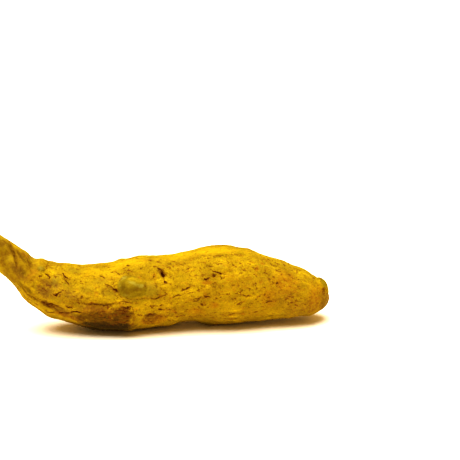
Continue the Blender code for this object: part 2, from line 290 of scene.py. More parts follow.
# Coloured areas seen in the photograph: tint, pixels, half length and half width in millimetres, turn
# of the long side towards the front in degrees, strength
SEEN_AREAS = {
    "bud": ("olive", 129.8, 286.6, 1.85, 1.70, 0, 1.0),
    "bud end": ("olive", 140.0, 289.4, 1.25, 1.10, 0, 0.9),
    "plate": ("haze", 151.0, 290.0, 1.5, 1.4, 0, 0.6),
    "plate olive": ("olive", 148.6, 291.8, 1.5, 0.9, 0, 0.34),
    "plate low": ("haze", 136.0, 295.6, 2.2, 0.4, 0, 0.5),
    "collar bud": ("olive", 41.3, 269.0, 0.75, 0.65, 0, 0.42),
    "old scar": ("haze", 104.2, 292.0, 0.8, 0.9, 0, 0.5),
    "bud left side": ("shadow", 123.6, 288.0, 0.6, 1.1, 0, 0.6),
    "bud left foot": ("shadow", 126.6, 291.4, 0.8, 0.6, 0, 0.7),
    "bud lower side": ("shadow", 133.0, 289.6, 1.7, 0.36, 0, 0.65),
    "bud end side": ("shadow", 145.6, 287.4, 0.28, 0.6, 0, 0.45),
    "old scar ring": ("shadow", 102.6, 293.0, 0.35, 0.7, 0, 0.45),
    "edge furrow shade": ("shadow", 28.6, 290.6, 1.0, 0.4, 4, 0.95),
    "edge furrow shade end": ("shadow", 22.0, 285.4, 0.9, 0.3, 4, 0.7),
    "fold shade": ("shadow", 11.0, 248.0, 1.6, 0.36, 28, 0.75),
    "fold shade end": ("shadow", 15.6, 258.6, 1.0, 0.36, 40, 0.8),
    "neck shade left": ("shadow", 3.0, 247.0, 1.0, 1.8, 0, 0.5),
    "neck shade low": ("shadow", 8.0, 270.0, 2.0, 1.0, 30, 0.4),
    "neck stripe shade": ("shadow", 22.0, 257.0, 1.6, 0.22, 20, 0.6),
    "shoulder haze one": ("haze", 88.0, 289.0, 1.5, 0.9, 0, 0.42),
    "shoulder haze two": ("haze", 66.0, 285.0, 1.6, 0.7, 0, 0.36),
    "low shoulder dusk": ("dusk", 70.0, 294.6, 2.4, 0.9, 8, 0.55),
    "shoulder haze three": ("haze", 74.0, 270.6, 1.6, 0.8, 0, 0.5),
    "shoulder haze four": ("haze", 100.0, 282.0, 1.5, 0.7, 0, 0.35),
    "haze by the streak": ("haze", 110.0, 293.0, 1.6, 1.0, 0, 0.4),
    "crown bud rim": ("haze", 209.6, 265.6, 0.9, 0.5, 0, 0.32),
    "haze under the plate": ("haze", 136.0, 300.0, 2.6, 0.5, 0, 0.35),
    "collar haze": ("haze", 56.0, 279.4, 0.8, 1.2, 0, 0.55),
    "right haze": ("haze", 236.0, 272.0, 1.6, 1.0, 0, 0.25),
    # The pale areas below are painted highlights on the bud's rims and ridge and on the shoulder and neck,
    # over the bud's pale grey skin
    "bud rim light": ("pale", 123.8, 278.4, 0.6, 0.36, -35, 0.95),
    "bud left rim light": ("pale", 119.6, 284.0, 0.25, 0.9, 0, 0.35),
    "bud ridge light": ("pale", 132.4, 283.6, 0.8, 0.24, 30, 0.95),
    "bud ridge light middle": ("pale", 136.6, 285.4, 0.7, 0.22, 16, 0.85),
    "bud ridge light end": ("pale", 140.6, 286.2, 0.55, 0.30, 0, 0.9),
    "bud foot light": ("pale", 126.0, 295.0, 0.9, 0.25, 0, 0.4),
    "crown bud light": ("pale", 222.0, 266.6, 0.8, 0.4, -10, 0.30),
    "collar bud light": ("pale", 41.0, 268.4, 0.6, 0.4, 0, 0.42),
    "shoulder light": ("pale", 54.6, 280.0, 0.4, 0.9, 0, 0.28),
    "neck light": ("pale", 8.6, 259.0, 0.4, 1.2, 0, 0.15),
    "shoulder dusk": ("dusk", 45.0, 292.0, 1.7, 1.1, 4, 0.75),
    "shoulder dusk top": ("dusk", 51.0, 284.6, 1.9, 0.8, 0, 0.7),
    "shoulder end shade": ("dusk", 58.0, 289.0, 1.3, 0.7, 0, 0.4),
    # Painted shade on the shoulder's low side
    "left low shade": ("dusk", 66.0, 313.0, 3.4, 0.9, 8, 0.55),
    "left side dusk": ("dusk", 60.0, 300.0, 3.0, 0.8, 8, 0.30),
    "under furrow dusk": ("dusk", 56.0, 309.0, 2.0, 0.6, 8, 0.5),
    # Painted shade on the body's low side
    "body low shade": ("dusk", 92.0, 309.0, 3.2, 0.9, 0, 0.5),
    "lower crust": ("stain", 105.0, 325.0, 4.6, 2.4, 0, 1.0),
    "crust heart": ("stain", 120.6, 316.6, 2.0, 1.45, 0, 1.0),
    "crust left": ("stain", 99.0, 318.0, 3.4, 1.3, 0, 0.9),
    "crust upper": ("stain", 122.0, 310.6, 1.3, 0.60, 0, 0.8),
    "crust far left": ("stain", 83.0, 319.0, 1.8, 0.8, 12, 0.7),
    "patch": ("stain", 152.0, 318.8, 1.9, 1.1, 0, 0.5),
    "patch top": ("stain", 151.0, 315.2, 1.1, 0.5, 0, 0.8),
    "neck patch one": ("stain", 3.4, 257.0, 0.9, 1.0, 0, 0.42),
    "neck patch two": ("stain", 15.2, 270.6, 1.1, 0.7, 0, 0.40),
    "neck patch three": ("stain", 22.4, 271.6, 1.1, 0.6, 0, 0.38),
    "neck patch band": ("dusk", 18.0, 270.6, 2.2, 0.8, 10, 0.6),
    "neck patch four": ("stain", 7.0, 267.2, 1.0, 0.5, 0, 0.38),
    "neck patch five": ("stain", 1.5, 243.0, 0.7, 1.0, 0, 0.5),
    "edge furrow crack": ("stain", 47.0, 304.6, 1.3, 0.6, 0, 0.75),
    "pit shade": ("stain", 161.4, 272.6, 0.9, 0.6, 50, 0.7),
    "streak shade": ("stain", 113.0, 289.4, 1.3, 0.4, 35, 0.5),
    # Near-black crust with painted contact shadow along the bottom, in the next three lines
    "contact shade and crust": ("crust", 109.0, 327.4, 4.0, 1.3, 0, 1.0),
    "contact shade and crust left": ("crust", 92.0, 325.0, 1.6, 0.9, 10, 0.8),
    "contact shade and crust right": ("crust", 124.0, 326.0, 1.0, 0.8, 0, 0.9),
    "crust top right": ("crust", 126.0, 309.0, 0.8, 0.35, 0, 0.20),
    "crust right": ("crust", 127.4, 317.0, 0.7, 0.9, 0, 0.25),
    "crust middle": ("crust", 114.0, 319.6, 1.0, 0.6, 0, 0.4),
    "orange blotch": ("orange", 206.8, 282.6, 0.9, 0.35, 0, 1.0),
    "orange patch": ("orange", 153.0, 320.0, 2.2, 1.4, 0, 0.8),
    "orange low": ("orange", 214.0, 305.4, 0.9, 0.6, 0, 0.7),
    "orange collar": ("orange", 31.4, 273.0, 0.8, 1.6, 0, 0.35),
    "orange middle": ("orange", 236.0, 280.0, 2.2, 1.6, 0, 0.35),
    "orange low left": ("orange", 70.0, 316.0, 2.6, 0.7, 0, 0.8),
    "orange under": ("orange", 98.0, 311.0, 3.0, 0.8, 0, 0.7),
    "orange right": ("orange", 270.0, 298.0, 1.8, 2.0, 0, 0.5),
    # Orange-brown and darker painted shade at the right end, in the next two lines
    "orange end shade": ("orange", 286.0, 284.0, 2.4, 2.6, 0, 0.55),
    "end shade": ("dusk", 286.0, 300.0, 3.2, 1.6, 0, 0.35),
    "orange furrow": ("orange", 196.0, 311.0, 1.6, 0.9, 0, 0.5),
    "orange neck": ("orange", 26.0, 255.6, 0.9, 0.4, 4, 0.7),
    "orange line": ("orange", 44.0, 283.0, 1.2, 0.4, 10, 0.5),
    # The light areas below are painted highlights on the upper surfaces, the gleam areas painted highlights
    # on the bud's top
    "shoulder top light": ("light", 68.0, 272.6, 3.4, 1.3, 0, 0.45),
    "body top light": ("light", 96.0, 272.0, 4.2, 1.3, 0, 0.7),
    "bud top light": ("gleam", 131.2, 279.8, 0.65, 0.6, 10, 0.50),
    "bud right light": ("gleam", 138.6, 281.0, 1.0, 0.5, 20, 0.45),
    "low middle light": ("light", 190.0, 310.0, 2.4, 0.9, 0, 0.32),
    "crown bud top light": ("light", 221.0, 267.0, 1.2, 0.6, -10, 0.45),
    "bud top light end": ("orange", 138.0, 279.4, 0.7, 0.5, 0, 0.8),
    "over bud light": ("light", 130.0, 262.2, 3.4, 1.6, 0, 0.8),
    "ridge top light": ("light", 172.0, 256.8, 4.4, 1.4, 0, 0.85),
    "crown top light": ("light", 217.0, 248.8, 5.0, 1.3, 0, 0.85),
    "right top light": ("light", 254.0, 252.4, 4.0, 0.9, 14, 0.45),
    "neck ridge light": ("light", 16.4, 248.0, 1.5, 0.4, 4, 0.8),
}

# Areas that the photograph doesn't show: tint, millimetres along the finger from its broken end,
# degrees round from the top by way of the front, half length in millimetres, half reach in degrees,
# strength
HIDDEN_AREAS = {
    # Crust with painted contact shadow on the underside
    "crust and contact shade below": ("crust", 26.6, 168.0, 5.2, 56.0, 1.0),
    "stain below": ("stain", 26.2, 166.0, 6.4, 72.0, 1.0),
    # Painted shade all along the underside
    "underside shade": ("dusk", 24.0, 182.0, 16.0, 40.0, 0.75),
    # Painted shade at the right end
    "right end shade": ("dusk", 66.0, 120.0, 6.0, 50.0, 0.45),
    "underside rub one": ("stain", 47.6, 180.0, 3.0, 22.0, 0.8),
    "underside rub two": ("crust", 47.6, 182.0, 1.6, 12.0, 0.6),
    "back bud one": ("olive", 39.9, 292.0, 2.1, 17.0, 1.0),
    "back bud one shade": ("shadow", 38.6, 284.0, 1.2, 11.0, 0.8),
    # The pale areas on the hidden buds are painted highlights
    "back bud one light": ("pale", 40.6, 298.0, 1.1, 3.0, 0.5),
    "back bud two": ("olive", 56.8, 262.0, 1.8, 15.0, 0.8),
    "back bud two light": ("pale", 56.2, 268.0, 0.8, 3.0, 0.5),
    "back low bud": ("olive", 22.8, 238.0, 1.8, 17.0, 0.9),
    "back low bud light": ("pale", 22.4, 245.0, 0.8, 3.5, 0.5),
    "underside bud": ("olive", 46.7, 160.0, 1.6, 14.0, 0.7),
    "back stain": ("stain", 33.0, 226.0, 4.4, 24.0, 0.8),
    "back stain heart": ("crust", 34.0, 220.0, 2.2, 12.0, 0.8),
    "back dusk": ("dusk", 51.0, 246.0, 5.0, 26.0, 0.7),
    "back dusk two": ("dusk", 26.0, 276.0, 4.0, 20.0, 0.6),
    "back haze": ("haze", 30.0, 306.0, 4.0, 18.0, 0.6),
    "back haze two": ("haze", 62.0, 286.0, 4.0, 22.0, 0.6),
    "back orange": ("orange", 44.0, 268.0, 4.6, 24.0, 0.7),
    "back orange two": ("orange", 18.0, 300.0, 3.6, 24.0, 0.6),
    # Painted highlight on the back's top
    "back light": ("light", 48.0, 304.0, 8.0, 22.0, 0.8),
    "neck back brown": ("stain", 6.0, 250.0, 3.0, 40.0, 0.6),
    "tip bud": ("olive", 69.4, 24.0, 1.2, 34.0, 0.6),
    "tip bud shade": ("shadow", 68.6, 10.0, 0.7, 22.0, 0.6),
    "tip dusk": ("dusk", 70.0, 120.0, 2.2, 70.0, 0.8),
    "tip orange": ("orange", 67.6, 80.0, 2.6, 60.0, 0.6),
    "tip back": ("stain", 69.6, 250.0, 2.0, 50.0, 0.5),
}

# Buds that the photograph doesn't show: millimetres along, degrees round, half length in millimetres,
# half reach in degrees, height in millimetres
HIDDEN_BUDS = {
    "back bud one": (39.9, 292.0, 2.7, 20.0, 0.42),
    "back bud two": (56.8, 262.0, 2.3, 18.0, 0.32),
    "back low bud": (22.8, 238.0, 2.2, 20.0, 0.32),
    "tip bud": (69.4, 24.0, 1.5, 42.0, 0.30),
}
HIDDEN_BUD_BLUNT = 0.7  # below 1, as a dome is

# Raised and sunk forms seen in the photograph: pixels, half length, half width and height in millimetres,
# turn, and how blunt the form is, a dome being below 1 and a soft swelling above 1
SEEN_FORMS = {
    "bud": (132.0, 286.4, 2.7, 2.1, 0.34, 0, 0.6),
    "bud end": (142.6, 287.6, 0.9, 0.9, 0.08, 0, 1.0),
    "bud left hollow": (124.6, 290.0, 0.9, 1.2, -0.22, 0, 1.2),
    "bud lower hollow": (134.4, 290.6, 1.5, 0.6, -0.14, 0, 1.2),
    "bud ridge": (137.6, 285.4, 1.6, 0.35, 0.10, 10, 1.2),
    "bud top": (133.0, 279.8, 1.3, 0.6, 0.14, 0, 1.0),
    "plate": (149.0, 291.4, 2.3, 1.5, 0.20, 0, 0.6),
    "collar": (42.5, 262.0, 1.5, 1.6, 0.26, 0, 1.2),
    "collar dip": (34.2, 258.0, 1.4, 3.4, -0.52, 0, 1.2),
    "collar bud": (41.3, 269.0, 0.8, 0.7, 0.16, 0, 1.0),
    "crown bud": (220.0, 268.0, 1.9, 1.2, 0.20, -10, 0.9),
    "crown bud hollow": (210.0, 266.0, 0.9, 0.6, -0.14, 0, 1.2),
    "neck fold": (12.6, 252.0, 2.2, 0.36, -0.26, 29, 1.0),
    "neck ridge": (17.4, 249.6, 2.4, 0.6, 0.22, 10, 1.2),
    "neck stripe": (22.2, 257.4, 2.0, 0.30, -0.16, 20, 1.2),
    "neck stripe ridge": (27.0, 257.6, 2.2, 0.36, 0.14, 14, 1.2),
    "neck left lump": (4.0, 250.0, 1.2, 1.0, 0.16, 0, 1.2),
    "collar hollow": (33.0, 270.0, 0.8, 1.8, -0.14, 0, 1.2),
    "pit": (162.9, 274.6, 0.5, 0.9, -0.20, 0, 1.2),
    "shoulder hollow": (52.0, 284.6, 1.8, 0.8, -0.18, 0, 1.2),
    "edge furrow side": (28.0, 291.0, 1.6, 0.5, -0.18, 4, 1.2),
    "patch hollow": (152.4, 319.4, 1.7, 1.0, -0.07, 0, 1.0),
}

# The skin's relief, in millimetres
WRINKLE_LENGTH, WRINKLE_SPACING, WRINKLE_HEIGHT = 5.0, 1.6, 0.17
PUCKER_SIZE, PUCKER_HEIGHT = 2.0, 0.17
GRAIN_SIZE, GRAIN_HEIGHT = 0.60, 0.05
TORN_SIZE, TORN_HEIGHT = 0.7, 0.45
RELIEF_DETAIL, GRAIN_DETAIL = 3.0, 1.0
NOISE_MIDDLE = 0.5  # of a noise that runs from 0 to 1
SCAR_LENGTH, SCAR_FADE = 1.0, 0.8  # how much of the neck's end is broken, not skin, and how it fades
NECK_END_LENGTH, NECK_FADE = 13.0, 2.5  # from the broken end to the collar, and how it fades

# Cracks: sizes in millimetres, and distances from a crack's middle in its own half widths
CRACK_WANDER, CRACK_WANDER_SIZE = 0.50, 0.6
WANDER_DETAIL, WANDER_ROUGHNESS = 3.0, 0.6
CRACK_WALL = 1.3
CRACK_REACH = 6.0
THINNEST_CRACK = 0.001
SPOT_LENGTH = 0.02
END_SHARE, SWELL_SHARE, SWELL_POWER = 0.45, 0.55, 0.6  # width at the ends, added in the middle, bluntness
SMALL_CRACK_LENGTH, SMALL_CRACK_WIDTH, SMALL_CRACK_DEPTH = 1.2, 0.14, 0.10
SMALL_CRACKS_PER_CM2 = 24.0
CM2_PER_M2 = 1e4
SMALL_CRACK_POINTS = 7
SMALL_CRACK_SWING = 0.5  # radians that it may turn off the finger's length
SMALL_CRACK_SIZES = (0.30, 1.7)
SMALL_CRACK_DARKNESS = (0.35, 1.0)
SMALL_CRACK_SEED = 7

# The side that the photograph shows, in degrees round from the top
FRONT_START, FRONT_END = -35.0, 165.0
FRONT_BLEND = 20.0

# The middle line, in millimetres and steps
CENTRE_STEP = 1.5
CENTRE_SMOOTHING = 3
END_STEPS = 3
END_MARGIN = 4.0

# Skin colours, linear
MUSTARD = (0.310, 0.211, 0.0060, 1.0)
OCHRE = (0.236, 0.149, 0.0060, 1.0)
# Bright skin for the bright mottles, and painted highlight for the light and gleam areas
BRIGHT_SKIN_AND_HIGHLIGHT = (0.445, 0.310, 0.0055, 1.0)
ORANGE = (0.248, 0.092, 0.0055, 1.0)
OLIVE = (0.188, 0.141, 0.0062, 1.0)
OLIVE_SHADOW = (0.109, 0.066, 0.0036, 1.0)
HAZE = (0.204, 0.156, 0.0130, 1.0)
MOSS = (0.230, 0.185, 0.0080, 1.0)
# Pale grey-green bud skin, laid mostly as painted highlight on the buds' rims and ridges and on the shoulder
# and neck
PALE_SKIN_AND_HIGHLIGHT = (0.235, 0.195, 0.0280, 1.0)
# Dark brown patches, and painted shade on the low sides, the underside and the right end
DARK_PATCH_AND_SHADE = (0.138, 0.073, 0.0146, 1.0)
STAIN = (0.110, 0.054, 0.0054, 1.0)
# Near-black crust, laid at the bottom as crust with painted contact shadow
CRUST_AND_CONTACT_SHADE = (0.020, 0.0115, 0.0058, 1.0)
CRACK_BROWN = (0.050, 0.0095, 0.0030, 1.0)
FLECK_BROWN = (0.105, 0.0250, 0.0050, 1.0)
CRACK_RIM = (0.233, 0.100, 0.0055, 1.0)
NECK_OLIVE = (0.298, 0.211, 0.0078, 1.0)
NECK_BROWN = (0.214, 0.126, 0.0078, 1.0)
SCAR_ORANGE = (0.250, 0.098, 0.0120, 1.0)
SCAR_BROWN = (0.087, 0.038, 0.0146, 1.0)
DUST_COLOUR = (1.0, 0.75, 0.10, 1.0)

# Below, a pair of numbers is where a share comes in, and two more are the share before and after.

# Mottles: laid evenly or drawn out along the finger, size in millimetres, detail, roughness, distortion
LENGTHWISE_SQUEEZE = 0.32
MOTTLES = {
    "clouds": ("even", 6.0, 3.0, 0.55, 0.0),
    "blotches": ("drawn out", 1.3, 4.0, 0.65, 0.3),
    "streaks": ("drawn out", 0.42, 3.0, 0.65, 0.0),
    "freckles": ("even", 1.5, 4.0, 0.65, 0.4),
    "moss": ("drawn out", 0.8, 4.0, 0.7, 0.3),
    "grain": ("even", 0.24, 3.0, 0.7, 0.0),
    "neck blotches": ("even", 1.6, 4.0, 0.6, 0.4),
    "bud mottles": ("even", 0.38, 4.0, 0.75, 0.0),
    "stain net": ("drawn out", 0.36, 3.0, 0.75, 0.0),
    "crackle pieces": ("even", 0.9, 3.0, 0.6, 0.0),
    "crackle crowds": ("even", 4.0, 2.0, 0.6, 0.0),
    "dash waves": ("drawn out", 0.6, 4.0, 0.7, 0.0),
    "dash pieces": ("even", 0.8, 3.0, 0.6, 0.0),
    "crack pieces": ("even", 0.7, 3.0, 0.6, 0.0),
    "ragged edges": ("even", 0.67, 5.0, 0.75, 0.0),
    "torn fibres": ("even", 0.77, 4.0, 0.7, 0.0),
    "fine bumps": ("even", 0.33, 5.0, 0.65, 0.0),
    "fine wrinkles": ("drawn out", 0.9, 4.0, 0.6, 0.0),
}

# The plain skin's colours, each laid over the last: mottles, where they come in, their full share, colour
GROUND_LAYERS = (
    ("clouds", 0.40, 0.66, 0.70, OCHRE),
    ("blotches", 0.48, 0.30, 0.70, OCHRE),
    ("blotches", 0.50, 0.72, 0.70, BRIGHT_SKIN_AND_HIGHLIGHT),
    ("freckles", 0.56, 0.72, 0.55, ORANGE),
    ("streaks", 0.54, 0.70, 0.45, ORANGE),
    ("moss", 0.56, 0.68, 0.50, MOSS),
)
GRAIN_SHADE = (0.3, 0.7, 0.76, 1.18)
HOLLOW_SHADE = (-0.5, 0.35, 0.75, 1.08)

# The tinted areas, each laid over the last: tint, where it comes in, how ragged its edge is,
# its full share, colour
AREA_LAYERS = {
    # The light and gleam areas are painted highlights
    "light": ("light", 0.0, 1.0, 2.0, 0.55, BRIGHT_SKIN_AND_HIGHLIGHT),
    "orange": ("orange", 0.0, 0.9, 4.0, 0.60, ORANGE),
    "haze": ("haze", 0.0, 0.9, 2.5, 0.80, HAZE),
    # The dusk areas are dark brown patches and, on the low sides, underside and right end, painted shade
    "dusk": ("dusk", 0.0, 0.9, 3.0, 0.75, DARK_PATCH_AND_SHADE),
    "bud": ("olive", 0.06, 0.45, 0.9, 0.88, OLIVE),
    "shadow": ("shadow", 0.0, 0.9, 1.5, 0.80, OLIVE_SHADOW),
    # The pale areas are painted highlights over the buds' pale skin
    "pale": ("pale", 0.0, 0.9, 3.5, 0.85, PALE_SKIN_AND_HIGHLIGHT),
    "gleam": ("gleam", 0.0, 0.9, 2.5, 0.75, BRIGHT_SKIN_AND_HIGHLIGHT),
    "stain": ("stain", 0.05, 0.70, 3.2, 0.90, STAIN),
    "stain net": ("stain", 0.3, 0.9, 3.5, 0.70, CRUST_AND_CONTACT_SHADE),
    # The crust areas are dark crust and, at the bottom, painted contact shadow
    "crust": ("crust", 0.05, 0.75, 2.5, 0.95, CRUST_AND_CONTACT_SHADE),
}
NECK_SHARE, NECK_BLOTCHES = 0.75, (0.40, 0.62)
BUD_SHADE_SHARE, BUD_MOTTLES = 0.55, (0.42, 0.60)
NET_LINES = (0.50, 0.60)

# Flecks: the crackle's network and the dashes, and where there are fewer of them
CRACKLE_BEND_PER_M, CRACKLE_BEND = 1400.0, 0.9 * MM
CRACKLE_CELLS_PER_M = 950.0
CRACKLE_LINE = (0.02, 0.078)
CRACKLE_HIGH_SHARE, CRACKLE_CROWD_SHARE = -0.10, 0.35
CRACKLE_PIECES = (0.54, 0.63)
DASH_LINE = (0.004, 0.020)
DASH_PIECES = (0.545, 0.61)
FLECK_SHARE = 0.85
FLECKS_LEFT = {
    "olive": (0.1, 0.5, 1.0, 0.15),
    "neck": (0.0, 1.0, 1.0, 0.35),
    "light": (0.1, 0.6, 1.0, 0.55),
}

# A crack's colour, by the distance from its middle in half widths
CRACK_RAGGING = 2.4
CRACK_PIECES = (0.40, 0.52)
UNBROKEN_DARKNESS = (0.75, 0.95)
CRACK_RIM_EDGE = (1.0, 2.6, 0.45, 0.0)
CRACK_HEART_EDGE = (0.60, 1.15, 1.0, 0.0)

# The broken end's colour
SCAR_FIBRES = (0.38, 0.62)
SCAR_RAGGING, SCAR_EDGE = 3.0, (0.30, 0.75)

# The skin's surface
WRINKLE_BUMP, FLECK_BUMP, CRACK_BUMP = 2.0, 0.6, 0.8
BUMP_STRENGTH, BUMP_DEPTH = 0.7, 0.14
ROUGHNESS = (0.3, 0.7, 0.73, 0.95)
SKIN_SPECULAR = 0.02
DUST_SHEEN = 0.10


def direction_back():
    """From the aim towards the camera."""
    azimuth, elevation = math.radians(CAMERA_AZIMUTH), math.radians(CAMERA_ELEVATION)
    level = math.cos(elevation)
    return Vector((math.sin(azimuth) * level, -math.cos(azimuth) * level, math.sin(elevation)))


def camera_place():
    """Where the camera stands."""
    return CAMERA_AIM + direction_back() * CAMERA_DISTANCE


def make_camera():
    """The camera at the photograph's viewing angle."""
    data = bpy.data.cameras.new("photo_camera")
    data.lens, data.sensor_width = LENS_MM, SENSOR_MM
    data.clip_start, data.clip_end = CLIP_START, CLIP_END
    camera = bpy.data.objects.new("photo_camera", data)
    camera.location = camera_place()
    camera.rotation_mode = "QUATERNION"
    camera.rotation_quaternion = (-direction_back()).to_track_quat("-Z", "Y")
    bpy.context.scene.collection.objects.link(camera)
    bpy.context.scene.camera = camera


def make_light():
    """One wide soft light from above."""
    data = bpy.data.lights.new("overhead_light", "SUN")
    data.energy = LIGHT_STRENGTH
    data.angle = math.radians(LIGHT_SPREAD)
    light = bpy.data.objects.new("overhead_light", data)
    light.location = LIGHT_FROM
    light.rotation_mode = "QUATERNION"
    light.rotation_quaternion = (-Vector(LIGHT_FROM)).to_track_quat("-Z", "Y")
    bpy.context.scene.collection.objects.link(light)


def make_sky():
    """A faint warm sky, and the photograph's contrast."""
    world = bpy.data.worlds.new("soft_sky")
    world.use_nodes = True
    sky = world.node_tree.nodes["Background"]
    sky.inputs["Color"].default_value = SKY_COLOUR
    sky.inputs["Strength"].default_value = SKY_STRENGTH
    bpy.context.scene.world = world
    bpy.context.scene.view_settings.view_transform = "Standard"
    bpy.context.scene.view_settings.look = CONTRAST


def make_floor():
    """A plain pale floor at the height that the finger rests on."""
    half = FLOOR_SIZE / 2
    mesh = bpy.data.meshes.new("floor")
    corners = [(-half, -half, 0), (half, -half, 0), (half, half, 0), (-half, half, 0)]
    mesh.from_pydata(corners, [], [(0, 1, 2, 3)])
    floor = bpy.data.objects.new("floor", mesh)
    bpy.context.scene.collection.objects.link(floor)
    paint = bpy.data.materials.new("white_floor")
    paint.use_nodes = True
    shader = paint.node_tree.nodes["Principled BSDF"]
    shader.inputs["Base Color"].default_value = FLOOR_COLOUR
    shader.inputs["Roughness"].default_value = FLOOR_ROUGHNESS
    shader.inputs["Specular IOR Level"].default_value = FLOOR_SPECULAR
    mesh.materials.append(paint)


# Building node trees


def add(tree, kind, inputs=None, **settings):
    """One node, with its settings made and its inputs set or linked."""
    made = tree.nodes.new(kind)
    for name, value in settings.items():
        setattr(made, name, value)
    for name, value in (inputs or {}).items():
        if isinstance(value, bpy.types.NodeSocket):
            tree.links.new(value, made.inputs[name])
        else:
            made.inputs[name].default_value = value
    return made


def maths(tree, operation, *values):
    """The result of a sum on numbers or sockets."""
    return add(tree, "ShaderNodeMath", dict(enumerate(values)), operation=operation).outputs[0]


def vector_maths(tree, operation, *vectors, scale=None):
    """The same for vectors."""
    inputs = dict(enumerate(vectors))
    if scale is not None:
        inputs["Scale"] = scale
    return add(tree, "ShaderNodeVectorMath", inputs, operation=operation).outputs[0]


def step_between(tree, value, low, high, start=0.0, end=1.0):
    """Goes smoothly from start to end as value goes from low to high."""
    inputs = {0: value, 1: low, 2: high, 3: start, 4: end}
    return add(tree, "ShaderNodeMapRange", inputs, interpolation_type="SMOOTHSTEP").outputs[0]


def noise_at(tree, vector, scale, detail, roughness=0.5, distortion=0.0):
    """A noise node, whose outputs are a value and a colour."""
    kind = {"Detail": detail, "Roughness": roughness, "Distortion": distortion}
    return add(tree, "ShaderNodeTexNoise", {"Vector": vector, "Scale": scale, **kind})


# The skin's fine mesh


def merged_copy(node):
    """A copy of the CAD node's mesh with its loose triangles joined."""
    mesh = bmesh.new()
    mesh.from_mesh(node.data)
    bmesh.ops.remove_doubles(mesh, verts=mesh.verts, dist=MERGE_DISTANCE)
    data = bpy.data.meshes.new("finger_base")
    mesh.to_mesh(data)
    mesh.free()
    return data


def fine_skin(base):
    """The finger's skin as one even, fine mesh, its facets smoothed away."""
    skin = bpy.data.objects.new("finger_skin", base)
    bpy.context.scene.collection.objects.link(skin)
    remesh = skin.modifiers.new("even mesh", "REMESH")
    remesh.mode = "VOXEL"
    remesh.voxel_size = VOXEL
    smooth = skin.modifiers.new("smooth facets", "SMOOTH")
    smooth.factor = SMOOTHING
    smooth.iterations = SMOOTHING_STEPS
    return baked(skin)


def baked(thing):
    """Makes the modifiers' result the object's own mesh."""
    bpy.context.view_layer.update()
    graph = bpy.context.evaluated_depsgraph_get()
    source = thing.evaluated_get(graph)
    mesh = bpy.data.meshes.new_from_object(source, preserve_all_data_layers=True, depsgraph=graph)
    thing.modifiers.clear()
    thing.data = mesh
    return thing


def points_of(mesh):
    """The mesh's points, one to a row."""
    points = np.empty(len(mesh.vertices) * 3, np.float32)
    mesh.vertices.foreach_get("co", points)
    return points.reshape(-1, 3).astype(float)


def keep(mesh, name, values):
    """Stores values on the mesh's points, as numbers or as vectors."""
    kind, field = ("FLOAT", "value") if values.ndim == 1 else ("FLOAT_VECTOR", "vector")
    attribute = mesh.attributes.new(name, kind, "POINT")
    attribute.data.foreach_set(field, values.astype(np.float32).ravel())


def beyond(end, inner):
    """The point past this end of the middle line, in the direction from the inner point."""
    way = end - inner
    return end + way / np.linalg.norm(way) * END_MARGIN * MM


def centre_line(points):
    """Points along the middle of the finger, a little past its ends."""
    step = CENTRE_STEP * MM
    line = []
    for x in np.arange(points[:, 0].min() + step, points[:, 0].max() - step / 2, step):
        slab = points[np.abs(points[:, 0] - x) < step / 2]
        middle = (slab.min(0) + slab.max(0)) / 2
        line.append((x, middle[1], middle[2]))
    line = np.array(line)
    for _ in range(CENTRE_SMOOTHING):
        line[1:-1] = (line[:-2] + 2 * line[1:-1] + line[2:]) / 4
    return np.vstack([beyond(line[0], line[END_STEPS]), line, beyond(line[-1], line[-1 - END_STEPS])])


def nearest_on(line, points):
    """(piece of the line, share along that piece, distance along the line) nearest to each point."""
    starts, ways = line[:-1], np.diff(line, axis=0)
    lengths = np.linalg.norm(ways, axis=1)
    before = np.concatenate([[0.0], np.cumsum(lengths)])
    best = np.full(len(points), np.inf)
    piece, share, along = np.zeros(len(points), int), np.zeros(len(points)), np.zeros(len(points))
    for i, (start, way, length) in enumerate(zip(starts, ways, lengths)):
        part = np.clip((points - start) @ way / length**2, 0, 1)
        gap = np.linalg.norm(points - start - part[:, None] * way, axis=1)
        nearer = gap < best
        best[nearer], piece[nearer], share[nearer] = gap[nearer], i, part[nearer]
        along[nearer] = before[i] + part[nearer] * length
    return piece, share, along


def straightened(points, line):
    """(places as if the finger were straight: along, to the front, up; and the lengthwise directions)."""
    ways = np.diff(line, axis=0)
    tangents = ways / np.linalg.norm(ways, axis=1)[:, None]
    at_points = np.vstack([tangents[:1], (tangents[:-1] + tangents[1:]) / 2, tangents[-1:]])
    piece, share, along = nearest_on(line, points)
    tangent = at_points[piece] * (1 - share[:, None]) + at_points[piece + 1] * share[:, None]
    tangent /= np.linalg.norm(tangent, axis=1)[:, None]
    front = np.array([0.0, -1.0, 0.0]) - tangent * -tangent[:, 1:2]
    front /= np.linalg.norm(front, axis=1)[:, None]
    up = np.cross(front, tangent)
    out = points - (line[piece] + share[:, None] * ways[piece])
    places = np.stack([along, (out * front).sum(1), (out * up).sum(1)], axis=1)
    places[:, 0] -= END_MARGIN * MM
    return places, tangent


# Marks from the photograph


def sight_line(px, py):
    """The direction in which the camera sees this pixel of the photograph."""
    view = -direction_back()
    right = view.cross(Vector((0, 0, 1))).normalized()
    up = right.cross(view)
    pixels_per_unit = LENS_MM / SENSOR_MM * PHOTO_SIDE
    aside, above = (px - PHOTO_SIDE / 2) / pixels_per_unit, (PHOTO_SIDE / 2 - py) / pixels_per_unit
    return (view + right * aside + up * above).normalized()


def on_skin(tree, px, py):
    """(place, outward direction) on the skin at this pixel, or None beside it."""
    place, normal, _, _ = tree.ray_cast(camera_place(), sight_line(px, py))
    return None if place is None else (place, normal)


